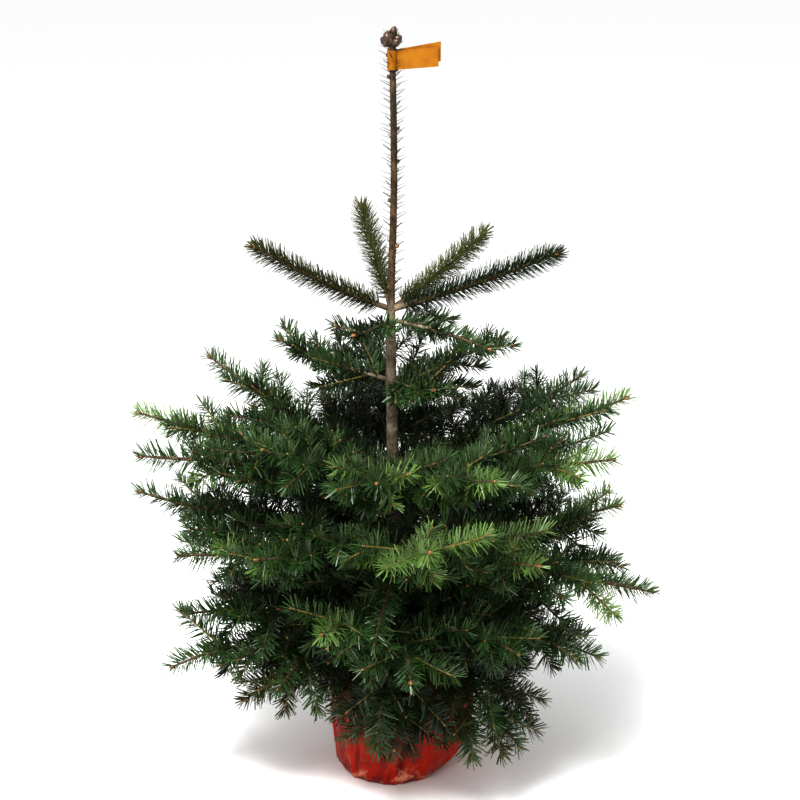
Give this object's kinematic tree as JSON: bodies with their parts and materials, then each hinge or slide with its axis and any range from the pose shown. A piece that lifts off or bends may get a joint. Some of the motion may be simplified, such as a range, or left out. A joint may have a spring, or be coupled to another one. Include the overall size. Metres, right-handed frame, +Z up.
{
  "type": "christmas tree",
  "caption": "Young pot-grown fir with a bare leader above tiers of flat needle-clad boughs, standing in a film-wrapped nursery pot, for use as a living Christmas tree.",
  "frame": {"origin": "middle of the pot's flat underside, on the surface the pot stands on", "axes": "+Z up along the trunk, +X to the tree's right side where the label points, -Y the front"},
  "size_m": [0.8483, 0.7688, 1.196],
  "materials": {
    "bark": "rough grey-brown bark with resin blisters, olive-brown on the leader",
    "needles": "glossy dark green needles, pale beneath, yellow-green at some tips",
    "film": "glossy red wrapping film, pleated and creased round the pot",
    "compost": "dark damp crumbly compost with shed needles",
    "label": "smooth orange plastic band, plain"
  },
  "bodies": {
    "root": {"pot": "film", "soil": "compost", "trunk": "bark", "top_bough_1": "bark", "top_bough_2": "bark", "top_bough_3": "bark", "top_bough_4": "bark", "upper_bough_1": "bark", "upper_bough_4": "bark", "upper_bough_5": "bark", "upper_bough_6": "bark", "upper_bough_7": "bark", "upper_bough_8": "bark", "top_spray_1": "needles", "top_spray_2": "needles", "top_spray_3": "needles", "top_spray_4": "needles", "crest_spray_1": "needles", "crest_spray_2": "needles", "crest_spray_3": "needles", "inner_spray_1": "needles", "inner_spray_2": "needles", "inner_spray_3": "needles", "inner_spray_4": "needles", "upper_spray_1": "needles", "upper_spray_2": "needles", "upper_spray_3": "needles", "upper_spray_4": "needles", "upper_spray_5": "needles", "upper_spray_6": "needles", "upper_spray_7": "needles", "upper_spray_8": "needles", "upper_spray_9": "needles", "upper_spray_10": "needles", "middle_spray_1": "needles", "middle_spray_2": "needles", "middle_spray_3": "needles", "middle_spray_4": "needles", "middle_spray_5": "needles", "middle_spray_6": "needles", "middle_spray_7": "needles", "middle_spray_8": "needles", "middle_spray_9": "needles", "middle_spray_10": "needles", "lower_spray_1": "needles", "lower_spray_2": "needles", "lower_spray_3": "needles", "lower_spray_4": "needles", "lower_spray_5": "needles", "lower_spray_6": "needles", "lower_spray_7": "needles", "lower_spray_8": "needles", "lower_spray_9": "needles", "skirt_spray_1": "needles", "skirt_spray_2": "needles", "skirt_spray_3": "needles", "skirt_spray_4": "needles", "skirt_spray_5": "needles", "skirt_spray_6": "needles", "label_band": "label"}
  },
  "joints": []
}
